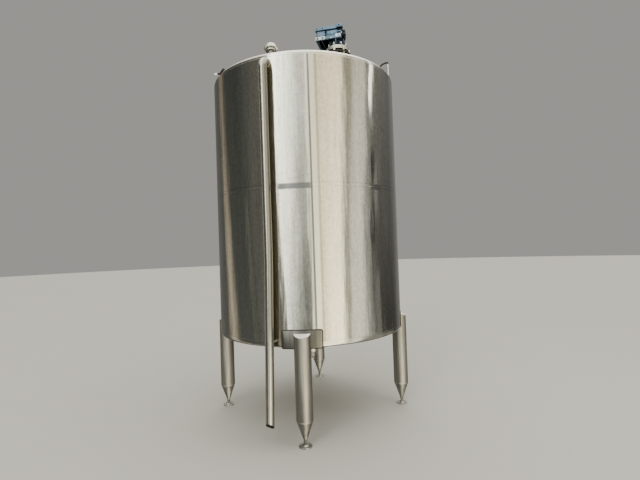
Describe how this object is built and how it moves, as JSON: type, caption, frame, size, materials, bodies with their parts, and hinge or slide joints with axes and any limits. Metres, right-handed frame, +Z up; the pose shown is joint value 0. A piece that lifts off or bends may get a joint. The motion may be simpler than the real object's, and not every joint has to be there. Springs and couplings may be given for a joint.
{
  "type": "vertical storage tank",
  "caption": "Stainless vertical storage tank on tubular legs, with an overflow pipe, a roof stirrer drive, a vent, a lidded manway and a bottom outlet valve.",
  "frame": {"origin": "on the tank's axis at floor level, under the middle of the four feet", "axes": "+Z up along the tank's axis; -Y is the front, where the leg, the overflow pipe and the shell seam face; +X is to the right seen from the front"},
  "size_m": [1.9142, 1.9146, 3.7672],
  "materials": {
    "shell_steel": "satin, brushed upright, with fine streaks and specks",
    "fitting_steel": "fine satin",
    "blue_paint": "semi-gloss paint on rough castings",
    "black_plastic": "fine grain",
    "seal_rubber": "matt"
  },
  "bodies": {
    "root": {"roof": "shell_steel", "bottom_head": "shell_steel", "shell_lower_right": "shell_steel", "shell_lower_back": "shell_steel", "shell_lower_left": "shell_steel", "shell_lower_front": "shell_steel", "shell_upper_right": "shell_steel", "shell_upper_back": "shell_steel", "shell_upper_left": "shell_steel", "shell_upper_front": "shell_steel", "leg_doubler_front": "shell_steel", "leg_doubler_right": "shell_steel", "leg_doubler_back": "shell_steel", "leg_doubler_left": "shell_steel", "leg_front": "shell_steel", "leg_right": "shell_steel", "leg_back": "shell_steel", "leg_left": "shell_steel", "foot_front": "fitting_steel", "foot_right": "fitting_steel", "foot_back": "fitting_steel", "foot_left": "fitting_steel", "overflow_elbow": "shell_steel", "overflow_pipe": "shell_steel", "overflow_bracket": "fitting_steel", "drive_nozzle": "shell_steel", "drive_seal": "seal_rubber", "drive_flange": "fitting_steel", "gear_foot": "blue_paint", "gear_case": "blue_paint", "gear_end_cover": "blue_paint", "motor": "blue_paint", "motor_fan_cowl": "blue_paint", "motor_terminal_box": "black_plastic", "vent_pipe": "fitting_steel", "vent_clamp": "fitting_steel", "vent_cap": "fitting_steel", "lifting_lug": "fitting_steel", "rim_hook": "fitting_steel", "manway_neck": "shell_steel", "manway_lid": "shell_steel", "manway_clamps": "fitting_steel", "outlet_neck": "fitting_steel", "outlet_valve": "fitting_steel", "outlet_ferrule": "fitting_steel"}
  },
  "joints": []
}
